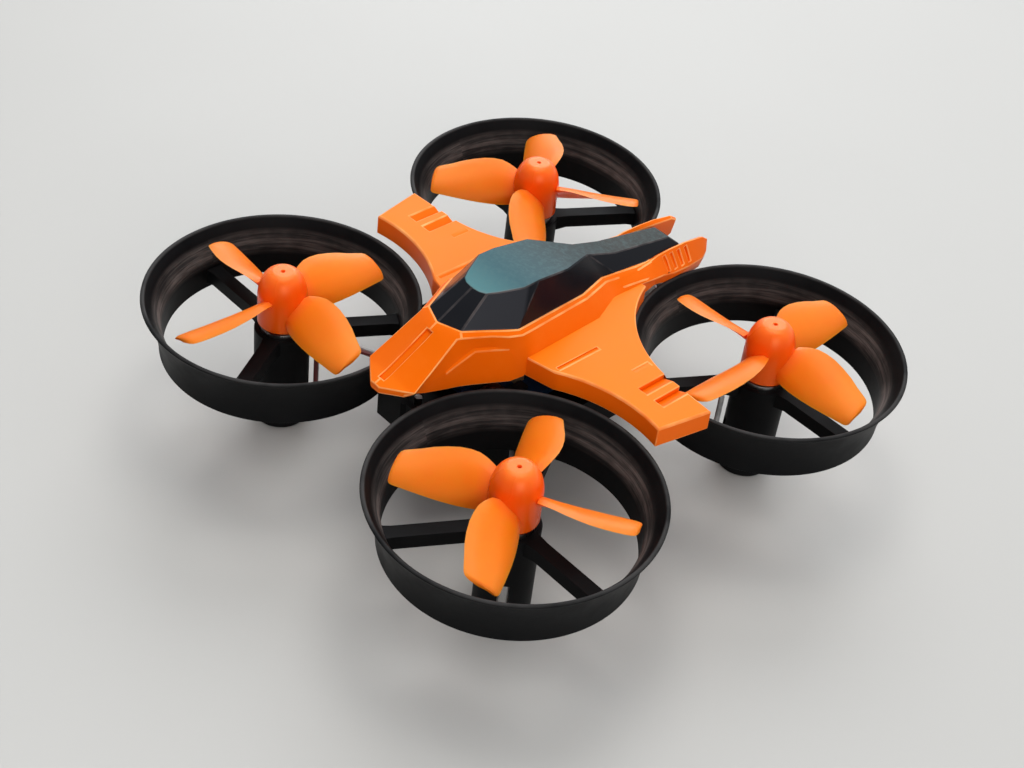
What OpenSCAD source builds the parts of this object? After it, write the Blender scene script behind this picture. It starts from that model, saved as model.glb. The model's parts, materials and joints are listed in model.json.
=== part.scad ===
/* [Frame] */
// Distance between the shafts of neighbouring motors
motor_pitch = 46; // [46:0.25:47]
// Height of the duct lips above the table
lip_z = 20.5; // [20.5:0.1:21]
// Height of a duct ring
duct_h = 8.2; // [8:0.1:8.4]
// Outer radius of a duct ring at its flared lip
lip_r = 18.5; // [18.3:0.05:18.5]
// Outer radius of a duct ring at its foot
throat_r = 16.35; // [16.2:0.05:16.4]
// Wall thickness of a duct ring
duct_wall = 0.6; // [0.5:0.05:0.7]
// Width of the three arms that carry a motor pod
strut_w = 2; // [1.6:0.1:2.2]
// Height of the arms
strut_h = 2; // [1.6:0.1:2.2]

/* [Motors] */
// Diameter of a motor can
motor_d = 6; // [5.8:0.1:6]
// Length of a motor with its end cap
motor_len = 14.7; // [14:0.1:14.7]
// Radius of a motor shaft
shaft_r = 0.4; // [0.35:0.05:0.4]
// Outer radius of a motor pod
pod_r = 3.75; // [3.7:0.05:3.9]

/* [Propellers] */
// Radius swept by the blade tips
prop_r = 15.5; // [14.5:0.1:15.5]
// Radius of the hub
hub_r = 3.4; // [3.4:0.05:3.6]
// Height of the hub
hub_h = 8.1; // [7.6:0.1:8.1]
// Greatest blade width
blade_chord = 7.4; // [6.5:0.1:7.5]
// Blade thickness
blade_t = 0.6; // [0.5:0.05:0.8]

/* [Canopy] */
// Height of the wing tops above the duct lips
wing_top = 2.5; // [2.4:0.05:2.6]
// Wall thickness of the canopy and the cover
shell_t = 0.8; // [0.7:0.05:0.9]
// Radius of the wings' front edges about the front motor shafts
front_arc_r = 19.9; // [19.6:0.1:20.1]
// Radius of the wings' rear edges about the rear motor shafts
rear_arc_r = 18.3; // [18.2:0.05:18.5]

/* [Battery] */
// Width of the battery cell
cell_w = 11.5; // [11:0.1:11.5]
// Length of the battery cell
cell_l = 28; // [27:0.5:28]
// Height of the battery cell
cell_h = 6.9; // [6.5:0.1:6.9]

/* [Hidden] */

motor_at = motor_pitch / 2;
duct_z = lip_z - duct_h;

// Battery bay and tray levels
wall = 0.8;
bay_gap = 0.25;
bay_z = 3.5;
cell = [cell_w, cell_l, cell_h];
cell_z = bay_z + wall;
cell_y = -12.5;
tray_z = cell_z + cell.z + 0.4;
floor_t = 1.2;
tray_wall_z = 17;
// Distance from a shaft to the flat face where its duct meets the tray
lug_r = 17.33;
middle_r = motor_at * sqrt(2);
tray_tip = (middle_r - lug_r) * sqrt(2);
strip_w = 5;
strip_y = 21;

// Motor pod and motor levels
ring_steps = 8;
ring_heights = [for (i = [0 : ring_steps]) i * duct_h / ring_steps];
foot_t = 1.2;
pod_top = 15.3;
bore_r = motor_d / 2 + 0.05;
slot_w = 1.5;
slot_top = 7.8;
cap_h = 1.4;
can_z = foot_t + cap_h;
can_top = foot_t + motor_len;
bush_z = can_top - 1.5;
hub_z = lip_z + 3.9 - hub_h;

// Holes where the motor leads rise through the tray
lead_hole = 8.6;

// Board levels
board_z = tray_z + floor_t + 1.4;
board_t = 0.8;
board_size = [15, 20];
board_y = -12;
board_top = board_z + board_t;
board_holes = [[-6.2, -10.7], [6.2, -10.7], [-6.2, 4.9], [6.2, 4.9]];
canopy_holes = [[0, -18.5], [-11.5, 0.5], [11.5, 0.5]];

orange = [0.95, 0.38, 0.06];
black = [0.06, 0.06, 0.07];
steel = [0.7, 0.7, 0.72];

// Puts one motor corner's parts in place. The left side is +X and the front is -Y.
// Right-hand corners are mirror images of the left-hand ones.
module corner(side, end)
{
  translate([side * motor_at, end * motor_at, 0])
    mirror([side < 0 ? 1 : 0, 0, 0])
      children();
}

// Direction from a left-hand corner to the middle of the frame
function inward(end) = 180 + 45 * end;

// Outer radius of a duct ring at a height above its foot
function flare(h) = throat_r + (lip_r - throat_r) * pow(h / duct_h, 2);

// A closed solid through rings of points. Each ring turns anticlockwise as seen looking
// from the first ring towards the last.
module skin(rings)
{
  ring = len(rings[0]);
  count = len(rings);
  sides = [
    for (k = [0 : count - 2], i = [0 : ring - 1])
      let (j = (i + 1) % ring, a = k * ring, b = a + ring)
        each [[a + i, a + j, b + i], [a + j, b + j, b + i]]
  ];
  first = [[for (i = [ring - 1 : -1 : 0]) i]];
  last = [[for (i = [0 : ring - 1]) (count - 1) * ring + i]];
  polyhedron([for (r = rings) each r], concat(sides, first, last), convexity = 6);
}

// A solid through sections [y, points], where points run up the right half and end on
// the centre line. The left half is the mirror image.
module loft(sections)
{
  skin([
    for (s = sections)
      concat(
        [for (p = s[1]) [p.x, s[0], p.y]],
        [for (i = [len(s[1]) - 2 : -1 : 0]) [-s[1][i].x, s[0], s[1][i].y]]
      )
  ]);
}

// A round wire through points that lie in one upright plane. across is that plane's normal.
module wire(route, across, r)
{
  sides = 8;
  last = len(route) - 1;
  skin([
    for (k = [0 : last])
      let (
        ahead = route[min(k + 1, last)] - route[max(k - 1, 0)],
        up = cross(across, ahead / norm(ahead))
      )
        [for (i = [0 : sides - 1])
          route[k] + r * (cos(i * 360 / sides) * across + sin(i * 360 / sides) * up)]
  ]);
}

// ---- Canopy ----

// Outer sections of the nose and body, from a blunt point at the front. Heights are above
// the duct lips. Points are the bottom edge, the side crease, the rail and the centre line.
body_sections = [
  [-26.1, [[0.6, 0.95], [0.8, 1.2], [0.8, 2.1], [0, 2.2]]],
  [-24.1, [[2.9, 0.8], [3.4, 1.15], [3.45, 2.15], [0, 3]]],
  [-23.3, [[3.2, 0.6], [4.2, 1.6], [4.5, 2.2], [0, 3.45]]],
  [-22.2, [[2.9, 0.4], [3.5, 1.6], [4.35, 2.9], [0, 4.1]]],
  [-20.6, [[2.95, -0.35], [3.7, 2.2], [4.15, 3.95], [0, 5]]],
  [-17.9, [[3.45, -0.75], [4.3, 2.8], [3.8, 5.7], [0, 6.55]]],
  [-16.1, [[4, -0.75], [4.7, 4], [3.6, 6.85], [0, 7.2]]],
  [-15.2, [[4.4, -0.75], [5, 4.2], [3.2, 7.35], [0, 7.6]]],
  [-11.8, [[6.15, -0.7], [6.2, 3.8], [4.85, 7.1], [0, 7.4]]],
  [-8.5, [[7.7, -0.4], [7.8, 2.6], [6.5, 6.75], [0, 7]]],
  [-6, [[7.8, -0.3], [7.7, 2.5], [6.2, 6.45], [0, 6.7]]],
  [5, [[7.4, 0.4], [7.3, 2.5], [4.7, 5.25], [0, 5.5]]],
  [10.4, [[5.4, 0.4], [5.3, 2.5], [3.1, 4.7], [0, 4.9]]],
  [13, [[5.2, 0.4], [5.2, 2.5], [3.3, 4.45], [0, 4.6]]],
  [18.6, [[4.9, 0.5], [4.9, 1.9], [3.6, 3.9], [0, 4]]],
  [26, [[4, -0.8], [4.2, 0.3], [3.1, 3.9], [0, 3.9]]]
];

// Room inside the hood, under its roof and open below
hood_room = [
  [-24.2, [[1.2, -1.4], [1.3, 0.8], [1.3, 1.5], [0, 2]]],
  [-22.6, [[2.3, -1.4], [2.7, 1.2], [3.2, 1.9], [0, 2.9]]],
  [-20.6, [[2.2, -1.4], [2.9, 1.9], [3.2, 3.2], [0, 4]]],
  [-17.9, [[2.7, -1.4], [3.5, 2.6], [2.9, 4.9], [0, 5.6]]],
  [-14.8, [[3.7, -1.4], [4.1, 3.9], [2.3, 6.2], [0, 6.3]]]
];

// Room inside the body, open at the top where the cover sits
body_room = [
  [-15.2, [[3.6, -1.4], [4.2, 3.9], [2.45, 8.2], [0, 9]]],
  [-11.8, [[5.3, -1.4], [5.4, 3.2], [4.15, 8.2], [0, 9]]],
  [-8.5, [[6.9, -1.4], [7, 2.2], [5.8, 8.2], [0, 9]]],
  [-6, [[7, -1.4], [6.9, 2.1], [5.5, 8.2], [0, 9]]],
  [5, [[6.6, -0.4], [6.5, 2.1], [4, 8.2], [0, 9]]],
  [10.4, [[4.6, -0.4], [4.5, 2.1], [2.4, 8.2], [0, 9]]],
  [13, [[4.4, -0.4], [4.4, 2.1], [2.6, 8.2], [0, 9]]],
  [18.6, [[4.1, -0.6], [4.1, 1.5], [2.9, 8.2], [0, 9]]],
  [27, [[3.2, -2], [3.4, 0.1], [2.3, 8.2], [0, 9]]]
];

// Plan of both wings, bounded by arcs about the duct centres
module wing_plan(inset)
{
  tip_front = [27.3, -4.6];
  tip_back = [28.9, 4.4];
  difference()
  {
    polygon([
      [-tip_back.x + inset, tip_back.y - inset], [-tip_front.x + inset, tip_front.y],
      [-12, -6.1 + inset], [-7.6, -7.6 + inset], [7.6, -7.6 + inset], [12, -6.1 + inset],
      [tip_front.x - inset, tip_front.y], [tip_back.x - inset, tip_back.y - inset],
      [22, 4.75 - inset], [16, 10], [-16, 10], [-22, 4.75 - inset]
    ]);
    for (side = [-1, 1])
    {
      translate([side * motor_at, -motor_at])
        circle(front_arc_r + inset, $fn = 180);
      translate([side * motor_at, motor_at])
        circle(rear_arc_r + inset, $fn = 180);
    }
  }
}

// Sections of the left tail fin: [y, bottom, outer crease, ridge, inner top, inner bottom]
fin_sections = [
  [15.8, [4.6, 0.4], [5.6, 2.5], [3.7, 3.9], [3, 3.6], [3.6, 0.8]],
  [18.6, [4.6, 0], [5.5, 2.1], [3.5, 4], [2.8, 3.6], [3.6, 0.4]],
  [22.6, [4.4, -1.2], [5.3, 1.3], [3.3, 4.05], [2.6, 3.6], [3.4, -0.8]],
  [26, [4.2, -1.8], [4.9, 0.8], [3.1, 3.9], [2.5, 3.4], [3.3, -1.4]],
  [29.6, [3.9, -1.6], [4.3, 0.5], [3.1, 3.3], [2.6, 3.1], [3.2, -1.2]],
  [31.6, [3.6, 0.2], [3.7, 0.9], [3.15, 2.4], [2.8, 2.3], [3.1, 0.3]]
];

module tail_fin()
{
  skin([for (s = fin_sections) [for (i = [1 : 5]) [s[i].x, s[0], s[i].y]]]);
}

// Grooves in the wing top, on the left side
module wing_grooves()
{
  tip_depth = 0.7;
  tip_groove = [0.8, 6, 1];
  root_groove = [0.7, 8, 1];
  seam = [0.35, 5, 1];
  depth = 0.45;
  for (x = [19.95, 22.8])
    translate([x, -0.1, wing_top - tip_depth])
      cube(tip_groove);
  translate([11.3, -6.5, wing_top - depth])
    cube(root_groove);
  translate([17.4, 1.9, wing_top - depth])
    cube(seam);
}

// Four louvre slots across the slope of a tail fin, on the left side
module fin_slots()
{
  slot = [1.9, 0.45, 0.7];
  first = [4.75, 21.6, 2.75];
  apart = [-0.2, 1.75, -0.15];
  for (i = [0 : 3])
    translate(first + i * apart)
      rotate([0, 52, 12])
        cube(slot, center = true);
}

module canopy_shell()
{
  wing_foot = -0.6;
  duct_room = 0.3;
  boss_r = 1.3;
  pilot_r = 0.52;
  pilot_h = 5;
  boss_z = tray_z + floor_t - lip_z;
  color(orange)
    translate([0, 0, lip_z])
    {
      difference()
      {
        union()
        {
          loft(body_sections);
          translate([0, 0, wing_foot])
            linear_extrude(wing_top - wing_foot)
              wing_plan(0);
          for (side = [0, 1])
            mirror([side, 0, 0])
              tail_fin();
        }
        loft(hood_room);
        loft(body_room);
        translate([0, 0, -1])
          linear_extrude(wing_top + 1 - shell_t)
            wing_plan(shell_t);
        for (side = [0, 1])
          mirror([side, 0, 0])
          {
            wing_grooves();
            fin_slots();
          }
        hood_groove();
        cover_seat();
        for (side = [-1, 1], end = [-1, 1])
          translate([side * motor_at, end * motor_at, -duct_h])
            cylinder(h = duct_h + duct_room, r = lip_r + duct_room, $fn = 120);
      }
      difference()
      {
        for (p = canopy_holes)
          translate([p.x, p.y, boss_z])
            cylinder(h = canopy_roof(p) - boss_z, r = boss_r, $fn = 32);
        for (p = canopy_holes)
          translate([p.x, p.y, boss_z - 0.1])
            cylinder(h = pilot_h, r = pilot_r, $fn = 24);
      }
    }
}

// Underside of the canopy over a screw boss, above the lips
function canopy_roof(p) = p.x == 0 ? 5.4 : wing_top - shell_t / 2;

// The sloping groove down the middle of the hood
module hood_groove()
{
  start = [0, -25.9, 2.05];
  end = [0, -17.4, 6.7];
  along = end - start;
  width = 1;
  depth = 0.3;
  translate(start + [-width / 2, 0, -depth])
    rotate([atan(along.z / along.y), 0, 0])
      cube([width, norm(along), 4 * depth]);
}

// The step in the rim that takes the front of the cover
module cover_seat()
{
  gap = 0.05;
  floor = cover_sections[0][1][0].y - gap;
  front = cover_sections[0];
  back = cover_sections[1];
  seat_end = -14.9;
  seat_h = 3;
  half = back[1][0].x + gap;
  translate([0, 0, floor])
    linear_extrude(seat_h)
      polygon([
        [front[1][0].x + gap, front[0] - gap], [half, back[0] - gap], [half, seat_end],
        [-half, seat_end], [-half, back[0] - gap], [-front[1][0].x - gap, front[0] - gap]
      ]);
}

// ---- Cockpit cover ----

// Sections of the faceted cover. Heights are above the duct lips.
cover_sections = [
  [-16.1, [[0.9, 6.6], [0.9, 7.35], [0.8, 7.5], [0, 7.55]]],
  [-15, [[2.45, 6.5], [2.45, 7.3], [2.35, 7.6], [0, 8.15]]],
  [-10.5, [[4.8, 6.1], [4.8, 6.95], [2.2, 10.4], [0, 10.55]]],
  [-8.5, [[5.7, 5.9], [5.7, 6.7], [3.4, 10.75], [0, 10.95]]],
  [-6, [[5.4, 5.5], [5.4, 6.4], [4.3, 10.95], [0, 11.15]]],
  [-3.6, [[5.1, 5.3], [5.1, 6.2], [4.45, 11.05], [0, 11.2]]],
  [2.1, [[4.3, 4.7], [4.3, 5.6], [3.7, 10.1], [0, 10.3]]],
  [8.3, [[2.9, 4.1], [2.9, 4.9], [1.5, 8.25], [0, 8.4]]],
  [10.4, [[2.3, 3.9], [2.3, 4.7], [1.5, 7.5], [0, 7.6]]],
  [13, [[2.5, 3.7], [2.5, 4.4], [1.6, 6.7], [0, 6.8]]],
  [18.6, [[2.8, 3.2], [2.8, 3.9], [1.55, 5.6], [0, 5.7]]],
  [24.9, [[2.35, 2.6], [2.35, 3.4], [1.42, 4.5], [0, 4.55]]],
  [26.6, [[2.2, 2.4], [2.2, 3], [1.4, 3.1], [0, 3.15]]]
];

// Points of a section moved in and down by the wall thickness, and open below
function inside(points) = [
  [max(points[0].x - shell_t, 0.15), points[0].y - 1],
  [max(points[1].x - shell_t, 0.15), points[1].y - 0.1],
  [max(points[2].x - 0.8 * shell_t, 0.1), points[2].y - shell_t],
  [0, points[3].y - shell_t]
];

module cockpit_cover()
{
  last = len(cover_sections) - 2;
  color(black)
    translate([0, 0, lip_z])
      difference()
      {
        loft(cover_sections);
        loft([for (i = [2 : last]) [cover_sections[i][0], inside(cover_sections[i][1])]]);
      }
}

// ---- Chassis ----

module tray_plan()
{
  intersection()
  {
    polygon([[-tray_tip, 0], [0, -tray_tip], [tray_tip, 0], [0, tray_tip]]);
    square([28, 60], center = true);
  }
  square([2 * strip_w, 2 * strip_y], center = true);
}

module chassis_tray()
{
  bay_in = [cell.x + 2 * bay_gap, cell.y + 1.5, cell.z + 0.4];
  bay_len = bay_in.y + wall;
  color(black)
    difference()
    {
      union()
      {
        translate([0, 0, tray_z])
          linear_extrude(floor_t)
            tray_plan();
        // Side walls, lowered at the tail where the battery plug passes
        translate([0, 0, tray_z])
          linear_extrude(tray_wall_z - tray_z)
            difference()
            {
              tray_plan();
              offset_plan();
              translate([-2 * strip_w, strip_y - 4])
                square([4 * strip_w, 10]);
            }
        // Battery bay, open at the back
        translate([-bay_in.x / 2 - wall, cell_y - wall - 0.2, bay_z])
          cube([bay_in.x + 2 * wall, bay_len, tray_z - bay_z]);
        for (p = board_holes)
          translate([p.x, p.y, tray_z])
            cylinder(h = board_z - tray_z, r = 1.2, $fn = 32);
      }
      translate([-bay_in.x / 2, cell_y - 0.2, cell_z])
        cube([bay_in.x, bay_len, bay_in.z]);
      for (p = board_holes)
        translate([p.x, p.y, tray_z + 0.4])
          cylinder(h = 4, r = 0.45, $fn = 24);
      for (p = canopy_holes)
        translate([p.x, p.y, tray_z - 1])
          cylinder(h = 4, r = 0.75, $fn = 24);
      for (side = [-1, 1], end = [-1, 1])
        translate([side * lead_hole, end * lead_hole, tray_z - 1])
          cylinder(h = 4, r = 1.1, $fn = 32);
    }
}

// The tray's plan moved in by its wall
module offset_plan()
{
  tip = tray_tip - wall * sqrt(2);
  intersection()
  {
    polygon([[-tip, 0], [0, -tip], [tip, 0], [0, tip]]);
    square([28 - 2 * wall, 60], center = true);
  }
  square([2 * strip_w - 2 * wall, 2 * strip_y - 2 * wall], center = true);
}

// ---- Ducts ----

// The space inside a duct ring, taken out to a depth in its wall
module ring_core(depth)
{
  rotate_extrude($fn = 120)
    polygon(concat(
      [[0, duct_z - 1], [flare(0) - depth, duct_z - 1]],
      [for (h = ring_heights) [flare(h) - depth, duct_z + h]],
      [[0, lip_z]]
    ));
}

module duct(end)
{
  foot_chamfer = 0.4;
  lug_w = 9;
  half_wall = duct_wall / 2;
  color(black)
    difference()
    {
      union()
      {
        rotate_extrude($fn = 120)
          polygon(concat(
            [for (h = ring_heights) [flare(h), duct_z + h]],
            [for (i = [ring_steps : -1 : 0]) [flare(ring_heights[i]) - duct_wall, duct_z + ring_heights[i]]]
          ));
        intersection()
        {
          for (a = [0, 120, 240])
            rotate([0, 0, a])
              translate([0, -strut_w / 2, pod_top - strut_h])
                cube([lip_r, strut_w, strut_h]);
          ring_core(half_wall);
        }
        rotate_extrude($fn = 64)
          polygon([
            [0, 0], [pod_r - foot_chamfer, 0], [pod_r, foot_chamfer], [pod_r, pod_top], [0, pod_top]
          ]);
        // Lug that joins the ring to the tray
        difference()
        {
          rotate([0, 0, inward(end)])
            translate([throat_r / 2, -lug_w / 2, duct_z])
              cube([lug_r - throat_r / 2, lug_w, tray_wall_z - duct_z]);
          ring_core(half_wall);
        }
      }
      // Motor bore, with a slot on each side so that the pod grips the motor
      translate([0, 0, foot_t])
        cylinder(h = 20, r = bore_r, $fn = 64);
      for (a = [inward(end), inward(end) + 180])
        rotate([0, 0, a])
          translate([0, -slot_w / 2, foot_t])
            cube([5, slot_w, slot_top - foot_t]);
    }
}

// ---- Motors ----

module motor_can()
{
  can_wall = 0.3;
  color(steel)
    difference()
    {
      translate([0, 0, can_z])
        cylinder(h = can_top - can_z, r = motor_d / 2, $fn = 64);
      translate([0, 0, can_z - 1])
        cylinder(h = can_top - can_z + 1 - can_wall, r = motor_d / 2 - can_wall, $fn = 64);
      cylinder(h = 30, r = 1, $fn = 32);
    }
}

module magnet()
{
  foot = can_z + 3;
  color([0.3, 0.3, 0.32])
    translate([0, 0, foot])
      difference()
      {
        cylinder(h = bush_z - foot, r = 1.35, $fn = 48);
        translate([0, 0, -1])
          cylinder(h = 12, r = 0.6, $fn = 32);
      }
}

module rotor_coil()
{
  color([0.72, 0.38, 0.2])
    translate([0, 0, can_z + 1.5])
      difference()
      {
        cylinder(h = 10.5, r = 2.35, $fn = 48);
        translate([0, 0, 1])
          cylinder(h = 12, r = 1.7, $fn = 48);
        cylinder(h = 5, r = shaft_r + 0.01, center = true, $fn = 32);
      }
}

module end_cap()
{
  color([0.85, 0.83, 0.76])
    difference()
    {
      union()
      {
        translate([0, 0, foot_t])
          cylinder(h = cap_h, r = motor_d / 2 - 0.05, $fn = 64);
        translate([0, 0, can_z])
          cylinder(h = 0.9, r = motor_d / 2 - 0.35, $fn = 64);
      }
      translate([0, 0, foot_t + 0.8])
        cylinder(h = 4, r = shaft_r + 0.05, $fn = 32);
    }
}

module bush()
{
  color([0.78, 0.6, 0.25])
    difference()
    {
      translate([0, 0, bush_z])
        cylinder(h = 1.7, r = 0.95, $fn = 32);
      cylinder(h = 30, r = shaft_r + 0.05, $fn = 32);
    }
}

module shaft()
{
  color(steel)
    translate([0, 0, foot_t + 0.9])
      cylinder(h = hub_z + hub_h - foot_t - 1.6, r = shaft_r, $fn = 32);
}

// ---- Propellers ----

// The blades start inside the hub's wall, and their middle lines run ahead of the shaft
blade_root = 2.8;
blade_sweep = 0.6;

// Distance along a blade as a fraction of its length, and the blade's width and pitch there
function blade_f(r) = (r - blade_root) / (prop_r - blade_root);
function chord(r) = blade_chord * (0.78 + 1.2 * blade_f(r) - 1.5 * pow(blade_f(r), 2))
  * min(1, 0.6 + 6 * blade_f(r)) * sqrt(1 - pow(max(blade_f(r) - 0.8, 0) / 0.215, 2));
function pitch(r) = 48 - 24 * blade_f(r);

// Section of a blade at a radius. Blades rise towards their leading edge, at -Y.
function blade_section(r) =
  let (
    c = chord(r),
    a = pitch(r),
    across = [-0.5, -0.25, 0, 0.25, 0.5],
    rise = [for (u = across) 0.09 * c * (1 - 4 * u * u)],
    half = [for (u = across) blade_t / 2 * (1 - 2 * u * u)],
    outline = concat(
      [for (i = [0 : 4]) [across[i] * c, rise[i] - half[i]]],
      [for (i = [4 : -1 : 0]) [across[i] * c, rise[i] + half[i]]]
    )
  )
    [for (p = outline) [r, p.y * sin(a) - p.x * cos(a) - blade_sweep, p.x * sin(a) + p.y * cos(a)]];

module blade()
{
  steps = [0, 0.07, 0.14, 0.25, 0.4, 0.55, 0.7, 0.8, 0.88, 0.94, 0.98, 1];
  skin([for (f = steps) blade_section(blade_root + f * (prop_r - blade_root))]);
}

// A propeller that turns clockwise seen from above. Right-hand corners mirror it.
module propeller(angle)
{
  dome_z = 4.2;
  top_r = 1.2;
  wall = 0.8;
  recess_h = 3.5;
  boss_r = 1.3;
  blade_z = 2.9;
  dome = [for (a = [0 : 10 : 90])
    [top_r + (hub_r - top_r) * cos(a), dome_z + (hub_h - dome_z) * sin(a)]];
  color(orange)
    translate([0, 0, hub_z])
      rotate([0, 0, angle])
      {
        difference()
        {
          rotate_extrude($fn = 64)
            polygon(concat([[0, 0], [hub_r, 0]], dome, [[0, hub_h]]));
          translate([0, 0, -1])
            difference()
            {
              cylinder(h = recess_h + 1, r = hub_r - wall, $fn = 48);
              cylinder(h = recess_h + 1, r = boss_r, $fn = 32);
            }
          cylinder(h = 4 * hub_h, r = shaft_r + 0.01, center = true, $fn = 32);
        }
        for (k = [0 : 3])
          rotate([0, 0, 90 * k])
            translate([0, 0, blade_z])
              blade();
      }
}

// ---- Wiring ----

lead_r = 0.32;
lead_gap = 0.36;

// Route of a motor's leads: distance from the shaft towards the frame's middle, and height
lead_route = [
  [3, 1.9], [4.2, 2], [4.75, 3.2], [4.75, 11.3], [5.6, 12.4], [9.6, 12.9], [12.4, 12], [16, 10.9],
  [19.5, 10.7], [20.4, 11.9], [20.5, 14.4], [21.3, 15.4], [22.5, 15.4]
];

module leads(end)
{
  toward = inward(end);
  across = [-sin(toward), cos(toward), 0];
  for (i = [0, 1])
    color(i == 0 ? [0.5, 0.05, 0.05] : [0.85, 0.85, 0.85])
      wire(
        [for (p = lead_route)
          p.x * [cos(toward), sin(toward), 0] + [0, 0, p.y] + (2 * i - 1) * lead_gap * across],
        across,
        lead_r
      );
}

// Route of the battery leads from the cell to its plug: along Y, and height
battery_route = [
  [15.5, 8.2], [18.5, 8.2], [22.5, 8.8], [25.4, 10.8], [26.3, 13.5], [25.9, 15.7], [25, 16.6], [23.6, 16.6]
];

module battery_leads()
{
  for (i = [0, 1])
    color(i == 0 ? [0.75, 0.05, 0.05] : black)
      wire([for (p = battery_route) [(2 * i - 1) * 0.65, p.x, p.y]], [1, 0, 0], 0.45);
}

module battery_cell()
{
  color([0.75, 0.76, 0.78])
    translate([-cell.x / 2, cell_y, cell_z])
      cube(cell);
}

plug = [3.4, 4, 2];
plug_y = 19.6;
plug_z = board_top + 0.6;

module battery_plug()
{
  color([0.92, 0.92, 0.9])
    translate([-plug.x / 2, plug_y, plug_z])
      cube(plug);
}

module battery_socket()
{
  shroud = 0.5;
  color([0.92, 0.92, 0.9])
    difference()
    {
      translate([-plug.x / 2 - shroud, plug_y - 4.6, board_top])
        cube([plug.x + 2 * shroud, 7, 3.2]);
      translate([-plug.x / 2 - 0.1, plug_y - 0.1, plug_z - 0.1])
        cube([plug.x + 0.2, 5, plug.z + 0.2]);
    }
}

// ---- Electronics ----

module flight_board()
{
  color([0.04, 0.12, 0.28])
    difference()
    {
      union()
      {
        translate([-board_size.x / 2, board_y, board_z])
          cube([board_size.x, board_size.y, board_t]);
        translate([-3, board_y + board_size.y - 1, board_z])
          cube([6, 13, board_t]);
      }
      for (p = board_holes)
        translate([p.x, p.y, board_z - 1])
          cylinder(h = 3, r = 0.6, $fn = 24);
    }
}

module chip(x, y, size)
{
  translate([x - size.x / 2, y - size.y / 2, board_top])
    cube(size);
}

module controller_chip()
{
  color(black)
    chip(0, -1, [5, 5, 0.9]);
}

module radio_chip()
{
  color(black)
    chip(0, -8.5, [4, 4, 0.8]);
}

module gyro_chip()
{
  color(black)
    chip(0, 5, [3, 3, 0.9]);
}

module motor_transistors()
{
  color(black)
    for (x = [-5.6, 5.6], y = [-6.5, 0.6])
      chip(x, y, [1.4, 2.9, 1.1]);
}

module board_capacitors()
{
  color([0.7, 0.6, 0.45])
    for (x = [-3.8, 3.8], y = [-4.5, 2.8])
      chip(x, y, [0.8, 1.6, 0.8]);
}

module crystal()
{
  color(steel)
    chip(3.6, -8.8, [2, 2.5, 0.7]);
}

module status_lights()
{
  color([0.9, 0.95, 1])
    for (x = [-2, 2])
      chip(x, 11, [1.6, 0.8, 0.7]);
}

module screw(head_r, head_h, shank_r, shank_h)
{
  difference()
  {
    union()
    {
      cylinder(h = head_h, r = head_r, $fn = 32);
      translate([0, 0, head_h])
        cylinder(h = shank_h, r = shank_r, $fn = 24);
    }
    for (a = [0, 90])
      rotate([0, 0, a])
        cube([1.3, 0.3, 0.6], center = true);
  }
}

module board_screws()
{
  color(steel)
    for (p = board_holes)
      translate([p.x, p.y, board_top + 0.7])
        mirror([0, 0, 1])
          screw(1, 0.7, 0.42, 2.4);
}

module canopy_screws()
{
  color(steel)
    for (p = canopy_holes)
      translate([p.x, p.y, tray_z - 0.8])
        screw(1.2, 0.8, 0.5, 5);
}

// ---- Assembly ----

canopy_shell();
cockpit_cover();
chassis_tray();
corner(1, -1) duct(-1);  // front_left_duct
corner(-1, -1) duct(-1);  // front_right_duct
corner(1, 1) duct(1);  // rear_left_duct
corner(-1, 1) duct(1);  // rear_right_duct
corner(1, -1) propeller(35);  // front_left_propeller
corner(-1, -1) propeller(3);  // front_right_propeller
corner(1, 1) mirror([0, 1, 0]) propeller(-1);  // rear_left_propeller
corner(-1, 1) mirror([0, 1, 0]) propeller(46);  // rear_right_propeller
corner(1, -1) shaft();  // front_left_shaft
corner(-1, -1) shaft();  // front_right_shaft
corner(1, 1) shaft();  // rear_left_shaft
corner(-1, 1) shaft();  // rear_right_shaft
corner(1, -1) rotor_coil();  // front_left_rotor_coil
corner(-1, -1) rotor_coil();  // front_right_rotor_coil
corner(1, 1) rotor_coil();  // rear_left_rotor_coil
corner(-1, 1) rotor_coil();  // rear_right_rotor_coil
corner(1, -1) motor_can();  // front_left_motor_can
corner(-1, -1) motor_can();  // front_right_motor_can
corner(1, 1) motor_can();  // rear_left_motor_can
corner(-1, 1) motor_can();  // rear_right_motor_can
corner(1, -1) magnet();  // front_left_magnet
corner(-1, -1) magnet();  // front_right_magnet
corner(1, 1) magnet();  // rear_left_magnet
corner(-1, 1) magnet();  // rear_right_magnet
corner(1, -1) end_cap();  // front_left_end_cap
corner(-1, -1) end_cap();  // front_right_end_cap
corner(1, 1) end_cap();  // rear_left_end_cap
corner(-1, 1) end_cap();  // rear_right_end_cap
corner(1, -1) bush();  // front_left_bush
corner(-1, -1) bush();  // front_right_bush
corner(1, 1) bush();  // rear_left_bush
corner(-1, 1) bush();  // rear_right_bush
corner(1, -1) leads(-1);  // front_left_leads
corner(-1, -1) leads(-1);  // front_right_leads
corner(1, 1) leads(1);  // rear_left_leads
corner(-1, 1) leads(1);  // rear_right_leads
flight_board();
controller_chip();
radio_chip();
gyro_chip();
motor_transistors();
board_capacitors();
crystal();
status_lights();
battery_socket();
board_screws();
canopy_screws();
battery_cell();
battery_leads();
battery_plug();
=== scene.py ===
import json
import math

import bmesh
import bpy
from mathutils import Matrix, Vector


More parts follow.
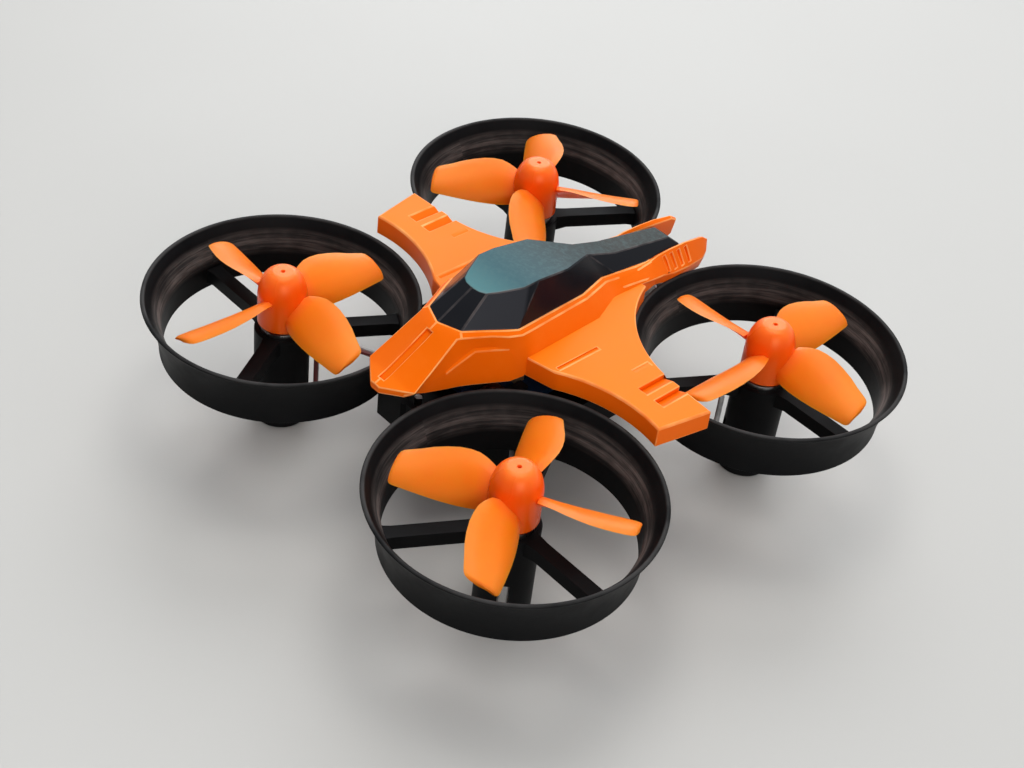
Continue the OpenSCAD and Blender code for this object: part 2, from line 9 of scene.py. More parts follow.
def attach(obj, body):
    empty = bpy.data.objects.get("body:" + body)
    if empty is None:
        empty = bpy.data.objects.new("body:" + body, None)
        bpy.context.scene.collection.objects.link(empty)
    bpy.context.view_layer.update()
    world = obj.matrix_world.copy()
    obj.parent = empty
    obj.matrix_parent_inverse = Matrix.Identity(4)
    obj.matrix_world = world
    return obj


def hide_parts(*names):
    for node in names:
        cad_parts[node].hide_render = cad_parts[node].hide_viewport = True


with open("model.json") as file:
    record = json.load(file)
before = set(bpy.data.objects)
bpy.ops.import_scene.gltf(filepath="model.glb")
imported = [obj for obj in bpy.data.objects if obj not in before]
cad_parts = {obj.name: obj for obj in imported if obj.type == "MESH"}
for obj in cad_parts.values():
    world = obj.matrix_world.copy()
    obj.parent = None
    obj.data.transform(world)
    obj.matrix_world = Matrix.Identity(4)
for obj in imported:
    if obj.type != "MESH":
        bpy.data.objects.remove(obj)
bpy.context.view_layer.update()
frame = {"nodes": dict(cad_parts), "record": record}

# Lengths are written in millimetres and turned into metres when a mesh is made.
MM = 0.001
LIP_Z = 20.5        # top edge of the duct rings
MOTOR_AT = 23.0     # distance of each shaft from the middle, along X and along Y
SLIVER = 0.01       # keeps two cutting faces from lying in one plane
# Each corner's side of the middle, along X (left is +) and along Y (front is -)
SIDE = {"front_left": (1, -1), "front_right": (-1, -1), "rear_left": (1, 1), "rear_right": (-1, 1)}


# ---- Mesh tools ----

def skin(rings):
    """A closed solid through rings of points, as (points, faces)."""
    count = len(rings[0])
    points = [p for ring in rings for p in ring]
    faces = [list(range(count))[::-1]]
    for k in range(len(rings) - 1):
        for i in range(count):
            j = (i + 1) % count
            faces.append([k * count + i, k * count + j, (k + 1) * count + j, (k + 1) * count + i])
    faces.append([(len(rings) - 1) * count + i for i in range(count)])
    return points, faces


def both_sides(half):
    """A ring from its left half, listed from the bottom up to a point on the centre line."""
    return list(half) + [(-x, y, z) for x, y, z in reversed(half[:-1])]


def lathe(profile, segments):
    """A solid of revolution about Z. The profile is a closed loop of (radius, height)."""
    points, faces = [], []
    for s in range(segments):
        a = 2 * math.pi * s / segments
        points += [(r * math.cos(a), r * math.sin(a), z) for r, z in profile]
    n = len(profile)
    for s in range(segments):
        t = (s + 1) % segments
        for i in range(n):
            j = (i + 1) % n
            faces.append([s * n + i, t * n + i, t * n + j, s * n + j])
    return points, faces


def prism(outline, low, high):
    """An upright solid from a plan outline."""
    return skin([[(x, y, low) for x, y in outline], [(x, y, high) for x, y in outline]])


def block(low, high):
    """A solid box between two corners."""
    (x0, y0, z0), (x1, y1, z1) = low, high
    return prism([(x0, y0), (x1, y0), (x1, y1), (x0, y1)], z0, z1)


def moved(part, matrix):
    points, faces = part
    return [tuple(matrix @ Vector(p)) for p in points], faces


def turned(part, degrees):
    """The part turned about Z."""
    return moved(part, Matrix.Rotation(math.radians(degrees), 4, "Z"))


def unchanged(part):
    return part


def mirrored(part):
    """The same part on the right-hand side."""
    points, faces = part
    return [(-x, y, z) for x, y, z in points], [f[::-1] for f in faces]


def piece(name, part, origin=(0, 0, 0)):
    """A Blender object from (points, faces), with its origin at a point given in millimetres."""
    points, faces = part
    mesh = bpy.data.meshes.new(name)
    mesh.from_pydata([[c * MM for c in p] for p in points], [], faces)
    mesh.validate()
    shape = bmesh.new()
    shape.from_mesh(mesh)
    bmesh.ops.remove_doubles(shape, verts=shape.verts, dist=1e-7)
    bmesh.ops.recalc_face_normals(shape, faces=shape.faces)
    shape.to_mesh(mesh)
    shape.free()
    obj = bpy.data.objects.new(name, mesh)
    bpy.context.scene.collection.objects.link(obj)
    obj.location = [c * MM for c in origin]
    bpy.context.view_layer.update()
    return obj


def apply_modifiers(obj):
    bpy.context.view_layer.update()
    depsgraph = bpy.context.evaluated_depsgraph_get()
    mesh = bpy.data.meshes.new_from_object(obj.evaluated_get(depsgraph))
    obj.modifiers.clear()
    old = obj.data
    obj.data = mesh
    bpy.data.meshes.remove(old)


def combine(obj, part, operation):
    """Adds a closed solid to obj, or takes it away."""
    tool = piece("tool", part)
    tool.matrix_world = obj.matrix_world
    change = obj.modifiers.new("combine", "BOOLEAN")
    change.operation = operation
    change.solver = "MANIFOLD"
    change.object = tool
    apply_modifiers(obj)
    bpy.data.objects.remove(tool)


def shade(obj, sharp):
    """Smooth shading, with edges above an angle in degrees left sharp."""
    obj.data.shade_smooth()
    obj.data.set_sharp_from_angle(angle=math.radians(sharp))


FLAT_ANGLE = 1.0        # faces that turn by less than this become one face
UPRIGHT = 0.8           # vertical part of an upright edge's direction
UPRIGHT_ANGLE = 45      # upright edges are rounded above this angle


def round_edges(obj, width, segments, angle, sharp, merge=0.002, clamp=True, share=None):
    """Rounds the outside edges that turn by more than an angle, and shades the result smooth.

    Points closer than merge become one first. share gives the part of the width to use, from an
    edge's middle and its direction.
    """
    shape = bmesh.new()
    shape.from_mesh(obj.data)
    bmesh.ops.remove_doubles(shape, verts=shape.verts, dist=merge * MM)
    bmesh.ops.dissolve_limit(
        shape, angle_limit=math.radians(FLAT_ANGLE), verts=shape.verts, edges=shape.edges)
    weight = shape.edges.layers.float.new("bevel_weight_edge")
    for edge in shape.edges:
        if edge.is_manifold and edge.is_convex:
            start, end = (v.co for v in edge.verts)
            along = (end - start).normalized()
            least = UPRIGHT_ANGLE if abs(along.z) > UPRIGHT else angle
            if math.degrees(edge.calc_face_angle()) > least:
                edge[weight] = share((start + end) / 2 / MM, along) if share else 1.0
    shape.to_mesh(obj.data)
    shape.free()
    # The bevels' faces are marked by a second material, which becomes an attribute
    for _ in range(2):
        obj.data.materials.append(None)
    bevel = obj.modifiers.new("bevel", "BEVEL")
    bevel.material = 1
    bevel.width = width * MM
    bevel.segments = segments
    bevel.limit_method = "WEIGHT"
    bevel.miter_outer = "MITER_ARC"
    bevel.use_clamp_overlap = clamp
    weighted = obj.modifiers.new("normals", "WEIGHTED_NORMAL")
    weighted.keep_sharp = True
    shade(obj, sharp)
    apply_modifiers(obj)
    edge = obj.data.attributes.new("edge", "FLOAT", "FACE")
    for polygon in obj.data.polygons:
        edge.data[polygon.index].value = float(polygon.material_index == 1)
        polygon.material_index = 0


# ---- Materials ----

class Nodes:
    """A small helper that adds shader nodes to one material."""

    SOCKETS = {
        "color": "Base Color", "rough": "Roughness", "metal": "Metallic",
        "specular": "Specular IOR Level", "specular_tint": "Specular Tint",
        "scatter": "Subsurface Weight", "scatter_scale": "Subsurface Scale",
        "scatter_radius": "Subsurface Radius",
    }
    LOW, HIGH = 0.3, 0.7    # a noise rarely leaves these values

    def __init__(self, name):
        self.material = bpy.data.materials.new(name)
        self.material.use_nodes = True
        self.tree = self.material.node_tree
        self.shader = self.tree.nodes["Principled BSDF"]

    def add(self, kind, inputs, **settings):
        node = self.tree.nodes.new(kind)
        for key, value in settings.items():
            setattr(node, key, value)
        for key, value in inputs.items():
            self.join(value, node.inputs[key])
        return node

    def join(self, value, socket):
        if isinstance(value, bpy.types.NodeSocket):
            self.tree.links.new(value, socket)
        elif socket.type == "RGBA":
            socket.default_value = (*value, 1.0)
        else:
            socket.default_value = value

    def set(self, **values):
        for key, value in values.items():
            self.join(value, self.shader.inputs[self.SOCKETS[key]])

    def place(self):
        return self.add("ShaderNodeTexCoord", {}).outputs["Object"]

    def normal(self):
        return self.add("ShaderNodeNewGeometry", {}).outputs["Normal"]

    def axes(self, vector):
        return self.add("ShaderNodeSeparateXYZ", {"Vector": vector}).outputs

    def math(self, operation, a, b=0.0):
        return self.add("ShaderNodeMath", {0: a, 1: b}, operation=operation).outputs[0]

    def times(self, a, b):
        return self.math("MULTIPLY", a, b)

    def plus(self, a, b):
        return self.math("ADD", a, b)

    def radius(self, x, y):
        return self.math("SQRT", self.plus(self.times(x, x), self.times(y, y)))

    def dot(self, a, b):
        node = self.add("ShaderNodeVectorMath", {0: a, 1: b}, operation="DOT_PRODUCT")
        return node.outputs["Value"]

    def noise(self, vector, scale, detail, roughness=0.55):
        node = self.add("ShaderNodeTexNoise", {
            "Vector": vector, "Scale": scale, "Detail": detail, "Roughness": roughness})
        return node.outputs["Fac"]

    def range(self, value, low, high, to_low, to_high):
        node = self.add("ShaderNodeMapRange", {
            "Value": value, "From Min": low, "From Max": high,
            "To Min": to_low, "To Max": to_high})
        return node.outputs["Result"]

    def vary(self, noise, low, high):
        """A number that follows a noise from one value to another."""
        return self.range(noise, self.LOW, self.HIGH, low, high)

    def ramp(self, value, stops):
        node = self.add("ShaderNodeValToRGB", {"Fac": value})
        elements = node.color_ramp.elements
        while len(elements) < len(stops):
            elements.new(0.5)
        for element, (position, color) in zip(elements, stops):
            element.position = position
            element.color = (*color, 1.0)
        return node.outputs["Color"]

    def tones(self, noise, dark, light):
        """A colour that follows a noise from one tone to another."""
        return self.ramp(noise, [(self.LOW, dark), (self.HIGH, light)])

    def mix(self, factor, a, b):
        node = self.add("ShaderNodeMix", {"Factor": factor}, data_type="RGBA")
        colors = [s for s in node.inputs if s.type == "RGBA"]
        self.join(a, colors[0])
        self.join(b, colors[1])
        return next(s for s in node.outputs if s.type == "RGBA")

    def bump(self, height, strength, distance):
        node = self.add("ShaderNodeBump", {
            "Height": height, "Strength": strength, "Distance": distance * MM})
        self.tree.links.new(node.outputs["Normal"], self.shader.inputs["Normal"])


def edge_wear_and_highlight(m, vector, scale, low, high):
    """Wear and a painted highlight on the rounded edges, which come and go between two strengths.
    """
    edge = m.add("ShaderNodeAttribute", {}, attribute_name="edge").outputs["Fac"]
    return m.times(edge, m.range(m.noise(vector, scale, 3), 0.35, 0.65, low, high))


def canopy_orange():
    m = Nodes("canopy_orange")
    place = m.place()
    cloud = m.noise(place, 45, 3)
    fine = m.noise(place, 2600, 2, 0.5)
    handled = m.noise(place, 260, 5, 0.65)
    rubbed, painted_top_sheen, bare_and_highlit = (0.95, 0.24, 0.03), (0.92, 0.225, 0.006), (1.0, 0.43, 0.14)
    color = m.tones(cloud, (0.85, 0.128, 0.002), (0.9, 0.146, 0.0025))
    color = m.mix(m.range(handled, 0.5, 0.75, 0.0, 0.1), color, rubbed)
    # Faces that look up are painted a little paler, a painted sheen
    up = m.axes(m.normal())[2]
    color = m.mix(m.range(up, 0.88, 0.99, 0.0, 0.6), color, painted_top_sheen)
    # The rounded edges show wear, with a painted highlight along them
    color = m.mix(edge_wear_and_highlight(m, place, 190, 0.2, 0.95), color, bare_and_highlit)
    m.set(color=color, rough=m.range(handled, 0.35, 0.7, 0.36, 0.44),
          specular=0.18, specular_tint=(1.0, 0.42, 0.07),
          scatter=0.04, scatter_scale=0.0015, scatter_radius=(1.0, 0.3, 0.05))
    m.bump(fine, 0.06, 0.02)
    return m.material


def propeller_orange():
    m = Nodes("propeller_orange")
    place = m.place()
    cloud = m.noise(place, 140, 3)
    fine = m.noise(place, 3800, 2, 0.6)
    painted_tip_light, thick, painted_dome_highlight = (1.0, 0.25, 0.035), (0.98, 0.1, 0.003), (1.0, 0.24, 0.035)
    x, y, _ = m.axes(place)
    radius = m.radius(x, y)
    # Less light passes through the thick hub, so it looks redder than the blades' tips
    hub = m.range(radius, 3.2 * MM, 5.0 * MM, 1.0, 0.0)
    color = m.tones(cloud, (0.98, 0.17, 0.004), (1.0, 0.2, 0.006))
    # The blades are painted paler towards their tips, a painted highlight
    color = m.mix(m.range(radius, 6.0 * MM, 15.5 * MM, 0.0, 0.3), color, painted_tip_light)
    color = m.mix(hub, color, thick)
    # The hub's dome is glossy, and painted paler where it looks up, a painted highlight
    up = m.axes(m.normal())[2]
    color = m.mix(m.times(hub, m.range(up, 0.3, 0.95, 0.0, 0.55)), color, painted_dome_highlight)
    rough = m.math("SUBTRACT", m.vary(cloud, 0.34, 0.44), m.times(hub, 0.1))
    m.set(color=color, rough=rough, specular=0.45, specular_tint=(1.0, 0.6, 0.3),
          scatter=0.5, scatter_scale=0.0016, scatter_radius=(1.0, 0.22, 0.03))
    m.bump(fine, 0.1, 0.02)
    return m.material


def frame_black(name, scuffed):
    """Black plastic. The ducts are scuffed inside, near their lips, and their lips show wear and a
    painted highlight.
    """
    m = Nodes(name)
    place = m.place()
    fine = m.noise(place, 2400, 3, 0.6)
    cloud = m.noise(place, 180, 4, 0.6)
    color = m.ramp(cloud, [(0.3, (0.0025, 0.0027, 0.0032)), (0.75, (0.0065, 0.0065, 0.0068))])
    rough = m.vary(cloud, 0.42, 0.58)
    if scuffed:
        dusty, scratched, worn_and_highlit = (0.14, 0.13, 0.125), (0.38, 0.31, 0.28), (0.09, 0.085, 0.083)
        x, y, z = m.axes(place)
        # Scratches run around the shaft, so the noise is stretched along the angle
        around = m.add("ShaderNodeCombineXYZ", {
            0: m.times(m.math("ARCTAN2", y, x), 1.1), 1: m.times(z, 1400.0),
            2: m.times(m.radius(x, y), 900.0)}).outputs[0]
        streaks = m.noise(around, 1.0, 5, 0.7)
        patches = m.noise(place, 120, 3, 0.6)
        inner = m.range(m.dot(m.normal(), place), -0.006, -0.009, 0.0, 1.0)
        high = m.range(z, (LIP_Z - 5.0) * MM, (LIP_Z - 2.0) * MM, 0.0, 1.0)
        where = m.times(inner, high)
        scuff = m.times(m.range(streaks, 0.42, 0.64, 0.0, 1.0),
                        m.range(patches, 0.36, 0.6, 0.35, 1.0))
        scuff = m.times(scuff, where)
        haze = m.times(where, m.range(patches, 0.3, 0.65, 0.1, 0.6))
        color = m.mix(haze, color, dusty)
        color = m.mix(m.times(scuff, 0.9), color, scratched)
        # The lips' tops show wear, and carry a painted highlight
        lip = m.range(z, (LIP_Z - 0.25) * MM, LIP_Z * MM, 0.0, 1.0)
        color = m.mix(m.times(lip, m.range(patches, 0.35, 0.6, 0.05, 0.4)), color, worn_and_highlit)
        rough = m.plus(rough, m.times(scuff, 0.15))
    m.set(color=color, rough=rough, specular=0.06)
    m.bump(fine, 0.22, 0.025)
    return m.material


def cover_black():
    """Gloss black sides, and a satin green-grey top with a painted reflection that is palest at the
    front and fades towards the tail.
    """
    m = Nodes("cover_black")
    place = m.place()
    fine = m.noise(place, 1500, 4, 0.7)
    cloud = m.noise(place, 150, 4, 0.6)
    gloss, facet_reflection_grey = (0.006, 0.0065, 0.009), (0.026, 0.027, 0.032)
    speck, worn_and_highlit = (0.07, 0.15, 0.155), (0.3, 0.25, 0.24)
    across, ahead, up = m.axes(m.normal())
    along = m.axes(place)[1]
    top = m.range(up, 0.9, 0.97, 0.0, 1.0)
    # The top's own green-grey, with a painted reflection that makes it palest at the front and
    # darkest at the tail
    tone = m.ramp(m.range(along, -11.5 * MM, 14.0 * MM, 0.0, 1.0), [
        (0.0, (0.07, 0.2, 0.215)), (0.22, (0.03, 0.095, 0.115)), (0.6, (0.026, 0.045, 0.05)),
        (1.0, (0.018, 0.02, 0.018))])
    # The two facets beside the windshield are painted greyer than the other faces, a painted
    # reflection
    reflecting_facets = m.times(m.range(m.math("ABSOLUTE", across), 0.5, 0.65, 0.0, 1.0),
                     m.range(ahead, -0.15, -0.24, 0.0, 1.0))
    color = m.mix(reflecting_facets, gloss, facet_reflection_grey)
    color = m.mix(top, color, tone)
    color = m.mix(m.times(m.range(fine, 0.45, 0.7, 0.0, 0.35), top), color, speck)
    # The rounded edges show wear, with a painted highlight along them
    color = m.mix(edge_wear_and_highlight(m, place, 210, 0.0, 0.25), color, worn_and_highlit)
    m.set(color=color, rough=m.plus(m.vary(cloud, 0.18, 0.26), m.times(top, 0.2)),
          specular=m.range(top, 0.0, 1.0, 0.13, 0.1))
    m.bump(m.times(fine, m.plus(m.times(top, 0.8), 0.1)), 0.12, 0.02)
    return m.material


def plain(name, dark, light, rough, metal=0.0, scale=300, grain=0.15, stretch=(1, 1, 1)):
    """A material whose colour varies between two tones, with roughness and a fine grain."""
    m = Nodes(name)
    place = m.add("ShaderNodeMapping", {"Vector": m.place(), "Scale": stretch}).outputs[0]
    cloud = m.noise(place, scale, 4, 0.6)
    fine = m.noise(place, scale * 9, 2, 0.5)
    m.set(color=m.tones(cloud, dark, light), rough=m.vary(cloud, rough - 0.06, rough + 0.08),
          metal=metal)
    m.bump(fine, grain, 0.02)
    return m.material


def circuit_board():
    m = Nodes("circuit_board")
    place = m.place()
    tracks = m.add("ShaderNodeTexBrick", {
        "Vector": place, "Scale": 900.0, "Mortar Size": 0.03}).outputs["Fac"]
    cloud = m.noise(place, 300, 3)
    color = m.tones(cloud, (0.006, 0.028, 0.09), (0.01, 0.045, 0.13))
    color = m.mix(m.times(tracks, 0.6), color, (0.02, 0.1, 0.2))
    m.set(color=color, rough=m.vary(cloud, 0.25, 0.38))
    m.bump(tracks, 0.3, 0.03)
    return m.material


def two_wires(name, across, first, second, centre=(0.0, 0.0)):
    """Insulation for a pair of wires, one colour on each side of a line through their middle."""
    m = Nodes(name)
    place = m.place()
    away = m.add("ShaderNodeVectorMath", {0: place, 1: (*centre, 0.0)}, operation="SUBTRACT")
    side = m.dot(away.outputs[0], across)
    cloud = m.noise(place, 700, 3)
    color = m.mix(m.range(side, -0.02 * MM, 0.02 * MM, 0.0, 1.0), first, second)
    color = m.mix(m.vary(cloud, 0.0, 0.35), color, (0.02, 0.02, 0.02))
    m.set(color=color, rough=m.vary(cloud, 0.38, 0.5))
    m.bump(m.noise(place, 2500, 2), 0.1, 0.02)
    return m.material


MATERIALS = {
    "canopy_orange": canopy_orange(),
    "propeller_orange": propeller_orange(),
    "frame_black": frame_black("frame_black", scuffed=True),
    "tray_black": frame_black("tray_black", scuffed=False),
    "cover_black": cover_black(),
    "steel": plain("steel", (0.42, 0.41, 0.4), (0.58, 0.57, 0.56), 0.3, metal=1.0,
                   scale=500, grain=0.1, stretch=(1, 1, 0.1)),
    "coil_copper": plain("coil_copper", (0.45, 0.14, 0.05), (0.68, 0.27, 0.1), 0.35, metal=1.0,
                         scale=900, grain=0.5, stretch=(1, 1, 0.3)),
    "magnet_nickel": plain("magnet_nickel", (0.4, 0.39, 0.37), (0.55, 0.54, 0.52), 0.2, metal=1.0),
    "end_cap_cream": plain("end_cap_cream", (0.5, 0.45, 0.35), (0.66, 0.61, 0.49), 0.5),
    "bush_brass": plain("bush_brass", (0.6, 0.38, 0.1), (0.75, 0.5, 0.16), 0.28, metal=1.0),
    "circuit_board": circuit_board(),
    "chip_black": plain("chip_black", (0.012, 0.012, 0.013), (0.03, 0.03, 0.031), 0.5, grain=0.3),
    "ceramic_tan": plain("ceramic_tan", (0.3, 0.2, 0.1), (0.42, 0.3, 0.17), 0.4),
    "light_white": plain("light_white", (0.7, 0.72, 0.6), (0.85, 0.86, 0.78), 0.2),
    "connector_white": plain("connector_white", (0.62, 0.61, 0.56), (0.74, 0.73, 0.69), 0.42),
    "battery_foil": plain("battery_foil", (0.45, 0.46, 0.48), (0.62, 0.63, 0.65), 0.34, metal=0.9,
                          scale=220, grain=0.5),
    "battery_wire": two_wires(
        "battery_wire", (1.0, 0.0, 0.0), (0.42, 0.008, 0.006), (0.012, 0.012, 0.013)),
}


def paint(obj, material):
    obj.data.materials.clear()
    obj.data.materials.append(material)


def finish_piece(obj, node, body, slot):
    """Gives a detailed piece its finish and its body, and hides the CAD node that it stands for."""
    paint(obj, MATERIALS[slot])
    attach(obj, body)
    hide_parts(node)


# ---- Canopy ----

# Left halves of the body's cross-sections, nose first. Each runs from the bottom edge up
# through the side's two creases, the outer edge of the rim and its inner edge to the centre.
# Heights on the canopy and its cover are above the duct lips.
BODY = [
    [(0.6, -25.9, 0.9), (0.75, -26.02, 1.1), (0.8, -26.1, 1.6),
     (0.8, -26.1, 2.1), (0.4, -26.12, 2.15), (0, -26.12, 2.18)],
    [(2.6, -24.0, 0.9), (3.4, -24.05, 1.2), (3.45, -24.1, 1.6),
     (3.45, -24.1, 2.17), (1.7, -24.1, 2.6), (0, -24.1, 3.0)],
    [(3.1, -23.1, 0.7), (3.95, -23.3, 1.6), (4.35, -23.3, 1.95),
     (4.5, -23.3, 2.2), (2.2, -23.3, 2.83), (0, -23.3, 3.46)],
    [(2.85, -22.2, 0.45), (3.5, -22.2, 1.6), (3.95, -22.2, 2.3),
     (4.35, -22.2, 2.92), (2.15, -22.0, 3.55), (0, -22.0, 4.22)],
    [(3.3, -20.6, 0.05), (3.6, -20.6, 1.5), (3.85, -20.6, 2.4),
     (4.15, -20.6, 3.94), (2.1, -20.0, 4.6), (0, -20.0, 5.38)],
    [(3.87, -17.9, -0.35), (4.2, -17.95, 2.6), (3.95, -17.98, 2.85),
     (3.8, -17.9, 5.7), (1.9, -18.0, 6.1), (0, -18.0, 6.55)],
    [(4.48, -16.0, -0.4), (4.6, -15.95, 3.75), (4.2, -15.9, 4.05),
     (3.57, -16.1, 6.85), (1.9, -16.85, 6.95), (0, -17.35, 6.93)],
    [(5.2, -14.4, -0.4), (4.95, -14.05, 4.75), (4.5, -14.05, 5.05),
     (3.8, -15.6, 6.85), (3.15, -15.2, 7.35), (0, -16.53, 7.44)],
    [(6.5, -11.9, -0.4), (6.0, -11.7, 4.6), (5.65, -11.6, 4.85),
     (5.45, -12.0, 6.6), (4.9, -11.8, 7.02), (0, -11.8, 7.3)],
    [(7.6, -9.9, -0.35), (6.72, -10.0, 4.4), (6.76, -10.0, 4.52),
     (6.55, -10.0, 6.3), (5.85, -9.9, 6.82), (0, -9.9, 7.1)],
    [(7.8, -7.9, -0.4), (7.7, -7.8, 3.2), (7.45, -8.0, 4.2),
     (7.15, -8.2, 6.15), (6.5, -8.4, 6.7), (0, -8.4, 7.0)],
    [(7.8, -6.0, 0.2), (7.7, -6.0, 2.5), (7.45, -6.0, 4.0),
     (6.9, -6.1, 5.95), (6.2, -6.2, 6.45), (0, -6.2, 6.6)],
    [(7.35, 5.9, 0.4), (7.3, 6.0, 2.4), (6.6, 5.7, 3.3),
     (5.3, 5.2, 4.85), (4.7, 5.0, 5.25), (0, 5.0, 5.5)],
    [(5.3, 10.8, 0.4), (5.25, 10.8, 2.4), (4.7, 10.7, 3.1),
     (3.7, 10.4, 4.3), (3.05, 10.2, 4.7), (0, 10.2, 4.9)],
    [(5.3, 13.0, 0.4), (5.25, 13.0, 2.4), (4.8, 12.9, 3.0),
     (3.85, 12.7, 4.1), (3.2, 12.5, 4.5), (0, 12.5, 4.7)],
    [(5.4, 16.2, 0.4), (5.3, 16.3, 2.3), (5.2, 16.3, 2.9),
     (3.9, 16.4, 3.8), (3.4, 16.4, 4.05), (0, 16.4, 4.2)],
    [(4.8, 19.4, 0.4), (4.9, 19.4, 1.5), (4.9, 19.4, 2.0),
     (3.6, 19.4, 3.75), (3.05, 19.4, 3.75), (0, 19.4, 3.9)],
    [(4.0, 25.9, -0.8), (4.1, 25.9, 0.2), (3.9, 25.9, 1.6),
     (2.9, 25.9, 3.0), (2.3, 25.9, 3.05), (0, 25.9, 3.1)],
]

# Room inside the body, open above where the cover sits and open below
ROOM = [
    [(3.6, -14.8, -3), (3.7, -14.8, 3.0), (2.3, -14.8, 6.2), (2.3, -14.8, 9), (0, -14.8, 9)],
    [(5.0, -11.8, -3), (5.0, -11.8, 3.0), (4.1, -11.8, 6.2), (4.1, -11.8, 9), (0, -11.8, 9)],
    [(6.9, -8.0, -3), (6.8, -8.0, 2.6), (5.7, -8.2, 5.4), (5.7, -8.2, 9), (0, -8.2, 9)],
    [(6.9, -6.0, -3), (6.8, -6.0, 2.0), (5.4, -6.0, 5.2), (5.4, -6.0, 9), (0, -6.0, 9)],
    [(6.5, 5.6, -3), (6.4, 5.6, 2.0), (4.0, 5.0, 4.2), (4.0, 5.0, 9), (0, 5.0, 9)],
    [(4.5, 10.6, -3), (4.5, 10.6, 2.0), (2.4, 10.2, 3.8), (2.4, 10.2, 9), (0, 10.2, 9)],
    [(4.5, 13.0, -3), (4.5, 13.0, 2.0), (2.5, 12.5, 3.6), (2.5, 12.5, 9), (0, 12.5, 9)],
    [(4.1, 19.4, -3), (4.2, 19.4, 1.4), (2.4, 19.4, 2.8), (2.4, 19.4, 9), (0, 19.4, 9)],
    [(3.2, 27.0, -3), (3.3, 27.0, 0.2), (1.7, 27.0, 2.0), (1.7, 27.0, 9), (0, 27.0, 9)],
]

# Room inside the hood, under its roof and open below
HOOD_ROOM = [
    [(1.2, -24.3, -3), (1.3, -24.3, 1.0), (1.2, -24.3, 1.6), (0, -24.3, 2.0)],
    [(2.2, -22.4, -3), (2.7, -22.4, 1.2), (3.0, -22.4, 2.1), (0, -22.4, 3.0)],
    [(2.2, -20.6, -3), (2.8, -20.6, 1.2), (3.2, -20.6, 3.2), (0, -20.6, 4.1)],
    [(2.7, -17.9, -3), (3.1, -17.9, 2.0), (3.0, -17.9, 4.9), (0, -17.9, 5.6)],
    [(3.5, -15.0, -3), (3.6, -15.0, 3.0), (2.2, -15.0, 6.0), (0, -15.0, 6.2)],
]

# Sections of the left tail fin: bottom, outer crease, ridge, inner top, inner bottom
FIN = [
    [(4.6, 15.8, 0.4), (5.3, 15.9, 2.5), (3.7, 16.2, 3.85),
     (3.2, 16.2, 3.6), (3.9, 16.0, 0.8)],
    [(4.7, 18.9, 0.3), (5.35, 18.9, 2.15), (3.45, 18.9, 3.75),
     (3.0, 18.9, 3.5), (3.8, 18.9, 0.6)],
    [(4.7, 20.4, 0.3), (5.1, 20.8, 1.75), (3.35, 20.8, 4.1),
     (2.8, 20.8, 3.7), (3.6, 20.6, 0.3)],
    [(4.4, 23.6, -1.2), (5.0, 23.2, 1.1), (3.25, 23.4, 4.15),
     (2.7, 23.4, 3.6), (3.4, 23.4, -0.8)],
    [(4.3, 26.6, -1.5), (4.85, 26.3, 0.8), (3.2, 26.6, 3.95),
     (2.6, 26.6, 3.4), (3.3, 26.6, -1.2)],
    [(4.0, 29.6, -1.3), (4.35, 29.6, 0.45), (3.15, 30.3, 3.25),
     (2.6, 30.1, 3.0), (3.2, 29.8, -1.0)],
    [(3.55, 31.1, -0.4), (3.65, 31.2, 0.7), (3.12, 31.6, 2.35),
     (2.8, 31.4, 2.2), (3.1, 31.2, -0.2)],
]

# Slots across the slope of a tail fin: the first one's middle, the step to the next, the two
# corners of the block that cuts one, and its turn about Z and about Y in degrees
FIN_SLOTS = 4
FIN_SLOT_AT = (4.35, 22.0, 2.75)
FIN_SLOT_STEP = (-0.12, 1.5, -0.14)
FIN_SLOT_LOW, FIN_SLOT_HIGH = (-1.15, -0.27, -0.32), (1.15, 0.27, 0.5)
FIN_SLOT_TURN, FIN_SLOT_TILT = 16, 57

WING_TOP = 2.5
WING_FOOT = -0.45
WING_WALL = 0.8
OPEN_FOOT = -3.0    # cuts that open below start here
FRONT_ARC = 19.9    # radius of a wing's front edge about the front motor shaft
REAR_ARC = 18.35    # radius of its rear edge about the rear motor shaft

# Wedges cut into the top of the left wing: corner, length along Y, width and depth
LOUVRES = [
    (20.35, 0.0, 8.0, 1.6, 0.75), (23.2, 0.0, 8.0, 1.6, 0.75),
    (11.3, -5.7, 7.1, 0.7, 0.25), (17.4, 1.9, 2.8, 0.8, 0.16),
]


def arc(centre, radius, start, end, count):
    """Points on a circle from one angle to another, in degrees."""
    step = (end - start) / (count - 1)
    angles = [math.radians(start + step * i) for i in range(count)]
    return [(centre[0] + radius * math.cos(a), centre[1] + radius * math.sin(a)) for a in angles]


def wing_outline(inset=0.0):
    """Plan of the left wing, anticlockwise from its front root."""
    front = arc((MOTOR_AT, -MOTOR_AT), FRONT_ARC + inset, 124, 77.5 + 4 * inset, 22)
    rear = arc((MOTOR_AT, MOTOR_AT), REAR_ARC + inset, 266.5, 202, 26)
    tip = [(28.9 - inset, 4.4 - inset), (22.0, 4.75 - inset)]
    return [(6.4, -7.1 + inset), (7.8, -7.45 + inset)] + front + tip + rear + [(4.4, 16.0)]


def louvre(x, y, length, width, depth):
    """A wedge cut into the wing's top: deep beside the body, and running out to nothing."""
    low, above = WING_TOP - depth, WING_TOP + 0.3
    section = [(x, above), (x, low), (x + width, WING_TOP), (x + width, above)]
    return skin([[(px, y, pz) for px, pz in section], [(px, y + length, pz) for px, pz in section]])


